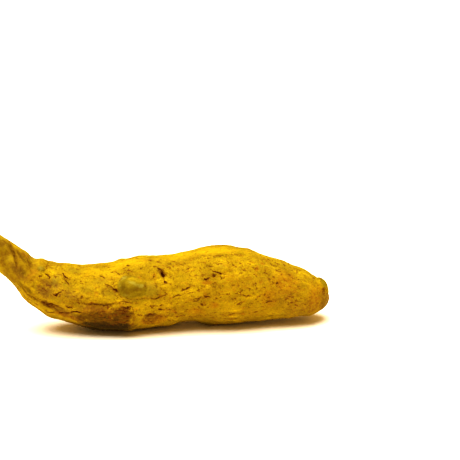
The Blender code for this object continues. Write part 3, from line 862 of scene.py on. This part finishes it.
def even_path(points):
    """The pixel path, resampled at even steps."""
    points = np.array(points, float)
    run = np.concatenate([[0], np.cumsum(np.linalg.norm(np.diff(points, axis=0), axis=1))])
    count = max(FEWEST_LINE_POINTS, int(run[-1] / LINE_STEP) + 1)
    at = np.linspace(0, run[-1], count)
    return np.stack([np.interp(at, run, points[:, 0]), np.interp(at, run, points[:, 1])], axis=1)


def lay_line(tree, marks, edges, wide, deep, dark, path):
    """Adds a crack along a path of pixels, thin at its ends."""
    pixels = even_path(path)
    joined = False
    for i, (px, py) in enumerate(pixels):
        hit = on_skin(tree, px, py)
        if hit is not None:
            share = i / (len(pixels) - 1)
            taper = END_SHARE + SWELL_SHARE * math.sin(math.pi * share) ** SWELL_POWER
            marks.append((hit[0], LINE_WIDTH_SHARE * wide * taper, deep * taper, dark))
            if joined:
                edges.append((len(marks) - 2, len(marks) - 1))
        joined = hit is not None


def lay_spot(tree, marks, edges, px, py, radius, deep, dark):
    """Adds a round mark, as a crack of hardly any length."""
    hit = on_skin(tree, px, py)
    if hit is not None:
        marks.append((hit[0], radius, deep, dark))
        marks.append((hit[0] + Vector((SPOT_LENGTH * MM, 0, 0)), radius, deep, dark))
        edges.append((len(marks) - 2, len(marks) - 1))


def seen_marks(tree):
    """One object with the seen cracks and spots as edges, and their measures at each point."""
    marks, edges = [], []
    for line in SEEN_LINES.values():
        lay_line(tree, marks, edges, *line)
    for spot in SEEN_SPOTS.values():
        lay_spot(tree, marks, edges, *spot)
    places, half_widths, depths, darkness = zip(*marks)
    mesh = bpy.data.meshes.new("seen_marks")
    mesh.from_pydata(places, edges, [])
    keep(mesh, "half_width", np.array(half_widths) * MM)
    keep(mesh, "depth", np.array(depths) * MM)
    keep(mesh, "dark", np.array(darkness))
    laid = bpy.data.objects.new("seen_marks", mesh)
    bpy.context.scene.collection.objects.link(laid)
    return laid


def oval(points, lengthwise, hit, half_length, half_width, turn):
    """1 in the middle of an oval patch of skin, 0 from its rim outwards, for each point."""
    place, normal = np.array(hit[0]), np.array(hit[1])
    nearest = np.argmin(((points - place) ** 2).sum(1))
    along = lengthwise[nearest] - normal * (lengthwise[nearest] @ normal)
    along /= np.linalg.norm(along)
    down = np.cross(along, normal)
    if down[2] > 0:
        down = -down
    turn = math.radians(turn)
    long_way = along * math.cos(turn) + down * math.sin(turn)
    wide_way = down * math.cos(turn) - along * math.sin(turn)
    gap = points - place
    off = ((gap @ long_way) / (half_length * MM)) ** 2 + ((gap @ wide_way) / (half_width * MM)) ** 2
    near = np.abs(gap @ normal) < (half_length + half_width) * MM
    return np.clip(1 - off, 0, 1) * near


def belt(places, round_angle, along, angle, half_length, half_reach):
    """1 in the middle of an oval given by its place along and round the finger, 0 from its rim outwards."""
    turn = (round_angle - angle + 180) % 360 - 180
    off = ((places[:, 0] / MM - along) / half_length) ** 2 + (turn / half_reach) ** 2
    return np.clip(1 - off, 0, 1)


def tint_strengths(points, lengthwise, places, round_angle, tree):
    """How strong each tint is at each point, by its name."""
    tints = {name: np.zeros(len(points)) for name in TINTS}
    for tint, px, py, half_length, half_width, turn, strength in SEEN_AREAS.values():
        hit = on_skin(tree, px, py)
        if hit is not None:
            reach = (AREA_SPREAD * half_length, AREA_SPREAD * half_width)
            tints[tint] = np.maximum(tints[tint], strength * oval(points, lengthwise, hit, *reach, turn))
    for tint, along, angle, half_length, half_reach, strength in HIDDEN_AREAS.values():
        patch = strength * belt(places, round_angle, along, angle, half_length, half_reach)
        tints[tint] = np.maximum(tints[tint], patch)
    return tints


def form_heights(points, lengthwise, places, round_angle, tree):
    """How far the seen forms and the hidden buds raise each point."""
    rise = np.zeros(len(points))
    for px, py, half_length, half_width, height, turn, blunt in SEEN_FORMS.values():
        hit = on_skin(tree, px, py)
        if hit is not None:
            rise += height * MM * oval(points, lengthwise, hit, half_length, half_width, turn) ** blunt
    for *oval_place, height in HIDDEN_BUDS.values():
        rise += height * MM * belt(places, round_angle, *oval_place) ** HIDDEN_BUD_BLUNT
    return rise


def mark_skin(mesh, tree):
    """Stores on the skin what its relief and colours need to know about each place."""
    points = points_of(mesh)
    places, lengthwise = straightened(points, centre_line(points))
    keep(mesh, "straight", places)
    keep(mesh, "lengthwise", lengthwise)
    round_angle = np.degrees(np.arctan2(places[:, 1], places[:, 2]))
    round_angle = np.where(round_angle < FRONT_START - FRONT_BLEND, round_angle + 360, round_angle)
    inside = np.minimum(round_angle - FRONT_START, FRONT_END - round_angle) / FRONT_BLEND
    keep(mesh, "unseen", np.clip(1 - inside, 0, 1))
    for name, values in tint_strengths(points, lengthwise, places, round_angle, tree).items():
        keep(mesh, name, values)
    keep(mesh, "rise", form_heights(points, lengthwise, places, round_angle, tree))
    keep(mesh, "scar", np.clip((SCAR_LENGTH * MM - places[:, 0]) / (SCAR_FADE * MM), 0, 1))
    keep(mesh, "neck", np.clip((NECK_END_LENGTH * MM - places[:, 0]) / (NECK_FADE * MM), 0, 1))


# The skin's relief


RELIEF_INPUTS = {
    "Wrinkle Length": WRINKLE_LENGTH * MM,
    "Wrinkle Spacing": WRINKLE_SPACING * MM,
    "Wrinkle Height": WRINKLE_HEIGHT * MM,
    "Pucker Size": PUCKER_SIZE * MM,
    "Pucker Height": PUCKER_HEIGHT * MM,
    "Grain Size": GRAIN_SIZE * MM,
    "Grain Height": GRAIN_HEIGHT * MM,
    "Crack Wander": CRACK_WANDER * MM,
    "Crack Wander Size": CRACK_WANDER_SIZE * MM,
    "Small Crack Length": SMALL_CRACK_LENGTH * MM,
    "Small Crack Width": SMALL_CRACK_WIDTH * MM,
    "Small Crack Depth": SMALL_CRACK_DEPTH * MM,
    "Small Cracks": SMALL_CRACKS_PER_CM2 * CM2_PER_M2,
    "Torn Size": TORN_SIZE * MM,
    "Torn Height": TORN_HEIGHT * MM,
}


def named(tree, name, kind="FLOAT"):
    """What the geometry holds at each point under this name."""
    node = add(tree, "GeometryNodeInputNamedAttribute", {"Name": name}, data_type=kind)
    return node.outputs["Attribute"]


def stored(tree, geometry, name, value, kind="FLOAT"):
    """The geometry, holding the value at each point under this name."""
    inputs = {"Geometry": geometry, "Name": name, "Value": value}
    return add(tree, "GeometryNodeStoreNamedAttribute", inputs, data_type=kind, domain="POINT").outputs[0]


def one_small_crack(tree, given):
    """A short straight crack along X, about the origin."""
    reach = maths(tree, "DIVIDE", given["Small Crack Length"], float(SMALL_CRACK_POINTS - 1))
    start = maths(tree, "MULTIPLY", given["Small Crack Length"], -0.5)
    inputs = {
        "Count": SMALL_CRACK_POINTS,
        "Start Location": add(tree, "ShaderNodeCombineXYZ", {0: start}).outputs[0],
        "Offset": add(tree, "ShaderNodeCombineXYZ", {0: reach}).outputs[0],
    }
    line = add(tree, "GeometryNodeMeshLine", inputs).outputs[0]
    line = stored(tree, line, "half_width", given["Small Crack Width"])
    return stored(tree, line, "depth", given["Small Crack Depth"])


def drawn_number(tree, limits, seed):
    """A number drawn at random between the limits for each instance or point."""
    inputs = {2: limits[0], 3: limits[1], "Seed": seed}
    return add(tree, "FunctionNodeRandomValue", inputs, data_type="FLOAT").outputs[1]


def crack_turn(tree, given):
    """A turn along the finger, with some swing."""
    along = {"Vector": named(tree, "lengthwise", "FLOAT_VECTOR")}
    facing = add(tree, "FunctionNodeAlignRotationToVector", along, axis="X").outputs[0]
    limits = {0: (-SMALL_CRACK_SWING,) * 3, 1: (SMALL_CRACK_SWING,) * 3, "Seed": given["Seed"]}
    swing = add(tree, "FunctionNodeRandomValue", limits, data_type="FLOAT_VECTOR").outputs[0]
    turns = {0: facing, 1: swing}
    return add(tree, "FunctionNodeRotateRotation", turns, rotation_space="LOCAL").outputs[0]


def small_cracks(tree, skin, given):
    """Short cracks strewn over the side that the photograph doesn't show."""
    density = maths(tree, "MULTIPLY", given["Small Cracks"], named(tree, "unseen"))
    strewing = {"Mesh": skin, "Density": density, "Seed": given["Seed"]}
    laying = {
        "Points": add(tree, "GeometryNodeDistributePointsOnFaces", strewing).outputs["Points"],
        "Instance": one_small_crack(tree, given),
        "Rotation": crack_turn(tree, given),
        "Scale": drawn_number(tree, SMALL_CRACK_SIZES, given["Seed"]),
    }
    laid = add(tree, "GeometryNodeInstanceOnPoints", laying).outputs[0]
    plain = add(tree, "GeometryNodeRealizeInstances", {0: laid}).outputs[0]
    darkness = drawn_number(tree, SMALL_CRACK_DARKNESS, given["Seed"])
    island = add(tree, "GeometryNodeInputMeshIsland").outputs[0]
    tree.links.new(island, darkness.node.inputs["ID"])
    return stored(tree, plain, "dark", darkness)


def relief_sockets(tree):
    """Gives the tree its inputs and its output, and returns the inputs by name."""
    kinds = {"Geometry": "Geometry", "Seen Marks": "Object", "Seed": "Int"}
    kinds |= {name: "Float" for name in RELIEF_INPUTS}
    kinds |= {"Skin Material": "Material"}
    for name, kind in kinds.items():
        tree.interface.new_socket(name, in_out="INPUT", socket_type=f"NodeSocket{kind}")
    tree.interface.new_socket("Geometry", in_out="OUTPUT", socket_type="NodeSocketGeometry")
    return tree.nodes.new("NodeGroupInput").outputs


def strayed_place(tree, place, given):
    """The place moved a little aside, so that the cracks wander."""
    scale = maths(tree, "DIVIDE", 1.0, given["Crack Wander Size"])
    wander = noise_at(tree, place, scale, WANDER_DETAIL, WANDER_ROUGHNESS).outputs[1]
    wander = vector_maths(tree, "SUBTRACT", wander, (NOISE_MIDDLE,) * 3)
    wander = vector_maths(tree, "SCALE", wander, scale=given["Crack Wander"])
    return vector_maths(tree, "ADD", place, wander)


def cut_by(tree, skin, lines, strayed):
    """(the skin, holding where its cracks are; how deep they cut each place)."""
    at = {0: lines, "Sample Position": strayed}
    near = add(tree, "GeometryNodeProximity", at, target_element="EDGES").outputs
    index = add(tree, "GeometryNodeSampleNearest", at, domain="POINT").outputs[0]

    def nearest(name):
        """What the nearest point of the lines holds under this name."""
        inputs = {"Geometry": lines, "Value": named(tree, name), "Index": index}
        return add(tree, "GeometryNodeSampleIndex", inputs, data_type="FLOAT", domain="POINT").outputs[0]

    half_width = maths(tree, "MAXIMUM", nearest("half_width"), THINNEST_CRACK * MM)
    gap = maths(tree, "MINIMUM", maths(tree, "DIVIDE", near["Distance"], half_width), CRACK_REACH)
    skin = stored(tree, skin, "crack_gap", gap)
    aside = vector_maths(tree, "SUBTRACT", strayed, near["Position"])
    aside = vector_maths(tree, "SCALE", aside, scale=maths(tree, "DIVIDE", 1.0, half_width))
    skin = stored(tree, skin, "crack_aside", aside, kind="FLOAT_VECTOR")
    skin = stored(tree, skin, "crack_dark", nearest("dark"))
    wall = step_between(tree, gap, 0.0, CRACK_WALL, 1.0, 0.0)
    return skin, maths(tree, "MULTIPLY", nearest("depth"), wall)


def swell(tree, vector, scale, height, detail=RELIEF_DETAIL):
    """Noise that swings out and in by up to the height."""
    value = maths(tree, "SUBTRACT", noise_at(tree, vector, scale, detail).outputs[0], NOISE_MIDDLE)
    return maths(tree, "MULTIPLY", maths(tree, "MULTIPLY", value, 2.0), height)


def wrinkle_places(tree, given):
    """The straightened place, counted in wrinkle lengths and spacings."""
    parts = add(tree, "ShaderNodeSeparateXYZ", {0: named(tree, "straight", "FLOAT_VECTOR")}).outputs
    spans = ("Wrinkle Length", "Wrinkle Spacing", "Wrinkle Spacing")
    counted = {axis: maths(tree, "DIVIDE", parts[axis], given[span]) for axis, span in enumerate(spans)}
    return add(tree, "ShaderNodeCombineXYZ", counted).outputs[0]


def swollen(tree, skin, place, given):
    """(the skin, holding how high its wrinkles and puckers stand; its relief without the cracks)."""

    def per(name):
        """The noise scale for mottles of this input's size."""
        return maths(tree, "DIVIDE", 1.0, given[name])

    relief = swell(tree, wrinkle_places(tree, given), 1.0, given["Wrinkle Height"])
    puckers = swell(tree, place, per("Pucker Size"), given["Pucker Height"])
    relief = maths(tree, "ADD", relief, puckers)
    whole = maths(tree, "ADD", given["Wrinkle Height"], given["Pucker Height"])
    skin = stored(tree, skin, "high", maths(tree, "DIVIDE", relief, whole))
    grain = swell(tree, place, per("Grain Size"), given["Grain Height"], GRAIN_DETAIL)
    relief = maths(tree, "ADD", relief, grain)
    fibres = swell(tree, place, per("Torn Size"), given["Torn Height"])
    relief = maths(tree, "ADD", relief, maths(tree, "MULTIPLY", fibres, named(tree, "scar")))
    return skin, maths(tree, "ADD", relief, named(tree, "rise"))


def pushed_out(tree, skin, relief):
    """The skin moved outwards by its relief, and kept above the floor."""
    outward = add(tree, "GeometryNodeInputNormal").outputs[0]
    offset = vector_maths(tree, "SCALE", outward, scale=relief)
    skin = add(tree, "GeometryNodeSetPosition", {"Geometry": skin, "Offset": offset}).outputs[0]
    after = add(tree, "GeometryNodeInputPosition").outputs[0]
    x, y, z = add(tree, "ShaderNodeSeparateXYZ", {0: after}).outputs
    above_floor = {0: x, 1: y, 2: maths(tree, "MAXIMUM", z, 0.0)}
    place = add(tree, "ShaderNodeCombineXYZ", above_floor).outputs[0]
    return add(tree, "GeometryNodeSetPosition", {"Geometry": skin, "Position": place}).outputs[0]


def relief_tree():
    """The Geometry Nodes tree that cuts cracks into the skin and wrinkles it."""
    tree = bpy.data.node_groups.new("weathered_skin", "GeometryNodeTree")
    given = relief_sockets(tree)
    skin = given["Geometry"]
    seen = add(tree, "GeometryNodeObjectInfo", {"Object": given["Seen Marks"]}).outputs["Geometry"]
    lines = add(tree, "GeometryNodeJoinGeometry")
    for part in (seen, small_cracks(tree, skin, given)):
        tree.links.new(part, lines.inputs[0])
    place = add(tree, "GeometryNodeInputPosition").outputs[0]
    skin, cut = cut_by(tree, skin, lines.outputs[0], strayed_place(tree, place, given))
    skin, relief = swollen(tree, skin, place, given)
    skin = pushed_out(tree, skin, maths(tree, "SUBTRACT", relief, cut))
    skin = add(tree, "GeometryNodeSetShadeSmooth", {0: skin}).outputs[0]
    skin = add(tree, "GeometryNodeRealizeInstances", {0: skin}).outputs[0]
    dress = {"Geometry": skin, "Material": given["Skin Material"]}
    skin = add(tree, "GeometryNodeSetMaterial", dress).outputs[0]
    done = tree.nodes.new("NodeGroupOutput")
    tree.links.new(skin, done.inputs[0])
    return tree


def weather(skin, marks, material):
    """Cuts, wrinkles and puckers the skin, and keeps the result as its mesh."""
    tree = relief_tree()
    modifier = skin.modifiers.new("weathered skin", "NODES")
    modifier.node_group = tree
    values = {"Seen Marks": marks, "Seed": SMALL_CRACK_SEED, "Skin Material": material, **RELIEF_INPUTS}
    for item in tree.interface.items_tree:
        if item.in_out == "INPUT" and item.name in values:
            modifier[item.identifier] = values[item.name]
    baked(skin)
    bpy.data.objects.remove(marks)


# The skin's colours


def colour_mix(tree, share, a, b, blend="MIX"):
    """Colour a, with this share of colour b laid over it."""
    inputs = {0: share, 6: a, 7: b}
    return add(tree, "ShaderNodeMix", inputs, data_type="RGBA", blend_type=blend).outputs[2]


def shaded(tree, colour, shade):
    """The colour multiplied by the shade."""
    grey = add(tree, "ShaderNodeCombineColor", {0: shade, 1: shade, 2: shade}).outputs[0]
    return colour_mix(tree, 1.0, colour, grey, "MULTIPLY")


def read(tree, name):
    """What the mesh holds at each point under this name, as a number in Fac and as a Vector."""
    return add(tree, "ShaderNodeAttribute", attribute_name=name).outputs


def mottling(tree, name, spaces):
    """The value of these mottles, over the skin as it is or drawn out along the finger."""
    space, size, *kind = MOTTLES[name]
    return noise_at(tree, spaces[space], 1 / (size * MM), *kind).outputs[0]


def crackle(tree, spaces, high):
    """Short pieces of a network of fine cracks, where the skin is low."""
    bend = noise_at(tree, spaces["even"], CRACKLE_BEND_PER_M, WANDER_DETAIL, WANDER_ROUGHNESS).outputs[1]
    bent = vector_maths(tree, "MULTIPLY_ADD", bend, (CRACKLE_BEND,) * 3, spaces["drawn out"])
    inputs = {"Vector": bent, "Scale": CRACKLE_CELLS_PER_M}
    cells = add(tree, "ShaderNodeTexVoronoi", inputs, feature="DISTANCE_TO_EDGE").outputs[0]
    line = step_between(tree, cells, *CRACKLE_LINE, 1.0, 0.0)
    pieces = maths(tree, "MULTIPLY_ADD", high, CRACKLE_HIGH_SHARE, mottling(tree, "crackle pieces", spaces))
    crowds = maths(tree, "SUBTRACT", mottling(tree, "crackle crowds", spaces), NOISE_MIDDLE)
    pieces = maths(tree, "MULTIPLY_ADD", crowds, CRACKLE_CROWD_SHARE, pieces)
    return maths(tree, "MULTIPLY", line, step_between(tree, pieces, *CRACKLE_PIECES))


def dashes(tree, spaces):
    """Fine broken dashes drawn out along the finger."""
    waves = maths(tree, "SUBTRACT", mottling(tree, "dash waves", spaces), NOISE_MIDDLE)
    line = step_between(tree, maths(tree, "ABSOLUTE", waves), *DASH_LINE, 1.0, 0.0)
    pieces = step_between(tree, mottling(tree, "dash pieces", spaces), *DASH_PIECES)
    return maths(tree, "MULTIPLY", line, pieces)


def flecks(tree, spaces, high):
    """The crackle and the dashes, fewer of them on the buds, on the neck and where highlight is painted."""
    share = maths(tree, "MAXIMUM", crackle(tree, spaces, high), dashes(tree, spaces))
    for name, left in FLECKS_LEFT.items():
        share = maths(tree, "MULTIPLY", share, step_between(tree, read(tree, name)["Fac"], *left))
    return share


def ground_colour(tree, spaces):
    """Mustard skin, with ochre, bright, orange and mossy mottles."""
    colour = MUSTARD
    for name, low, high, share, paint in GROUND_LAYERS:
        laid = step_between(tree, mottling(tree, name, spaces), low, high, 0.0, share)
        colour = colour_mix(tree, laid, colour, paint)
    return shaded(tree, colour, step_between(tree, mottling(tree, "grain", spaces), *GRAIN_SHADE))


def neck_colour(tree, spaces):
    """Olive skin with brown blotches."""
    blotches = step_between(tree, mottling(tree, "neck blotches", spaces), *NECK_BLOTCHES)
    return colour_mix(tree, blotches, NECK_OLIVE, NECK_BROWN)


def bud_colour(tree, olive, spaces):
    """The olive of a bud, with darker mottles."""
    mottles = step_between(tree, mottling(tree, "bud mottles", spaces), *BUD_MOTTLES)
    return colour_mix(tree, maths(tree, "MULTIPLY", mottles, BUD_SHADE_SHARE), olive, OLIVE_SHADOW)


def ragged_patch(tree, ragged, tint, low, high, ragging, share):
    """How strongly a tint is laid, with a ragged edge."""
    value = read(tree, tint)["Fac"]
    edge = maths(tree, "MULTIPLY_ADD", maths(tree, "MULTIPLY", ragged, ragging), value, value)
    return step_between(tree, edge, low, high, 0.0, share)


def tinted(tree, colour, spaces, ragged):
    """The colour with the neck and the tinted areas laid over it."""
    neck = maths(tree, "MULTIPLY", read(tree, "neck")["Fac"], NECK_SHARE)
    colour = colour_mix(tree, neck, colour, neck_colour(tree, spaces))
    net = step_between(tree, mottling(tree, "stain net", spaces), *NET_LINES)
    for name, (*layer, paint) in AREA_LAYERS.items():
        laid = ragged_patch(tree, ragged, *layer)
        if name == "bud":
            paint = bud_colour(tree, paint, spaces)
        if name == "stain net":
            laid = maths(tree, "MULTIPLY", net, laid)
        colour = colour_mix(tree, laid, colour, paint)
    return colour


def cracked(tree, colour, spaces, ragged):
    """(the colour with the cracks on it, how much of a crack each place is)."""
    aside = {0: read(tree, "crack_aside")["Vector"]}
    across = add(tree, "ShaderNodeVectorMath", aside, operation="LENGTH").outputs[1]
    far = maths(tree, "SUBTRACT", read(tree, "crack_gap")["Fac"], CRACK_WALL)
    gap = maths(tree, "MULTIPLY_ADD", ragged, CRACK_RAGGING, maths(tree, "MAXIMUM", across, far))
    dark = read(tree, "crack_dark")["Fac"]
    rim = maths(tree, "MULTIPLY", step_between(tree, gap, *CRACK_RIM_EDGE), dark)
    colour = colour_mix(tree, rim, colour, CRACK_RIM)
    pieces = step_between(tree, mottling(tree, "crack pieces", spaces), *CRACK_PIECES)
    held = maths(tree, "MAXIMUM", pieces, step_between(tree, dark, *UNBROKEN_DARKNESS))
    heart = maths(tree, "MULTIPLY", step_between(tree, gap, *CRACK_HEART_EDGE), dark)
    heart = maths(tree, "MULTIPLY", heart, held)
    return colour_mix(tree, heart, colour, CRACK_BROWN), heart


def torn(tree, colour, spaces, ragged):
    """The colour with the broken end's orange and brown fibres laid over it."""
    fibres = step_between(tree, mottling(tree, "torn fibres", spaces), *SCAR_FIBRES)
    scar_colour = colour_mix(tree, fibres, SCAR_BROWN, SCAR_ORANGE)
    edge = maths(tree, "MULTIPLY_ADD", ragged, SCAR_RAGGING, read(tree, "scar")["Fac"])
    return colour_mix(tree, step_between(tree, edge, *SCAR_EDGE), colour, scar_colour)


def dress_surface(tree, shader, spaces, fleck, heart):
    """Fine bumps with flecks and cracks sunk in them, an uneven roughness, and a veil of dust."""
    fine = mottling(tree, "fine bumps", spaces)
    height = maths(tree, "MULTIPLY_ADD", mottling(tree, "fine wrinkles", spaces), WRINKLE_BUMP, fine)
    height = maths(tree, "SUBTRACT", height, maths(tree, "MULTIPLY", fleck, FLECK_BUMP))
    height = maths(tree, "SUBTRACT", height, maths(tree, "MULTIPLY", heart, CRACK_BUMP))
    inputs = {"Strength": BUMP_STRENGTH, "Distance": BUMP_DEPTH * MM, "Height": height}
    tree.links.new(add(tree, "ShaderNodeBump", inputs).outputs[0], shader.inputs["Normal"])
    tree.links.new(step_between(tree, fine, *ROUGHNESS), shader.inputs["Roughness"])
    shader.inputs["Specular IOR Level"].default_value = SKIN_SPECULAR
    shader.inputs["Sheen Weight"].default_value = DUST_SHEEN
    shader.inputs["Sheen Tint"].default_value = DUST_COLOUR


def skin_material():
    """Dusty cured skin: mottled mustard, darker where it is stained, cracked, olive or broken, with painted
    shade in its hollows, on its low sides and underside and at the floor, and painted highlights on its tops
    and buds.
    """
    material = bpy.data.materials.new("cured_skin")
    material.use_nodes = True
    tree = material.node_tree
    shader = tree.nodes["Principled BSDF"]
    squeeze = {"Vector": read(tree, "straight")["Vector"], "Scale": (LENGTHWISE_SQUEEZE, 1.0, 1.0)}
    spaces = {
        "even": add(tree, "ShaderNodeTexCoord").outputs["Object"],
        "drawn out": add(tree, "ShaderNodeMapping", squeeze).outputs[0],
    }
    ragged = maths(tree, "SUBTRACT", mottling(tree, "ragged edges", spaces), NOISE_MIDDLE)
    high = read(tree, "high")["Fac"]
    colour = tinted(tree, ground_colour(tree, spaces), spaces, ragged)
    colour = shaded(tree, colour, step_between(tree, high, *HOLLOW_SHADE))
    fleck = flecks(tree, spaces, high)
    colour = colour_mix(tree, maths(tree, "MULTIPLY", fleck, FLECK_SHARE), colour, FLECK_BROWN)
    colour, heart = cracked(tree, colour, spaces, ragged)
    tree.links.new(torn(tree, colour, spaces, ragged), shader.inputs["Base Color"])
    dress_surface(tree, shader, spaces, fleck, heart)
    return material


def make_finger():
    """The finger's skin, marked, weathered and coloured, in place of the CAD node."""
    skin = fine_skin(merged_copy(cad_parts[NODE]))
    tree = BVHTree.FromObject(skin, bpy.context.evaluated_depsgraph_get())
    mark_skin(skin.data, tree)
    weather(skin, seen_marks(tree), skin_material())
    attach(skin, "root")
    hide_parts(NODE)


make_camera()
make_sky()
make_light()
make_floor()
make_finger()
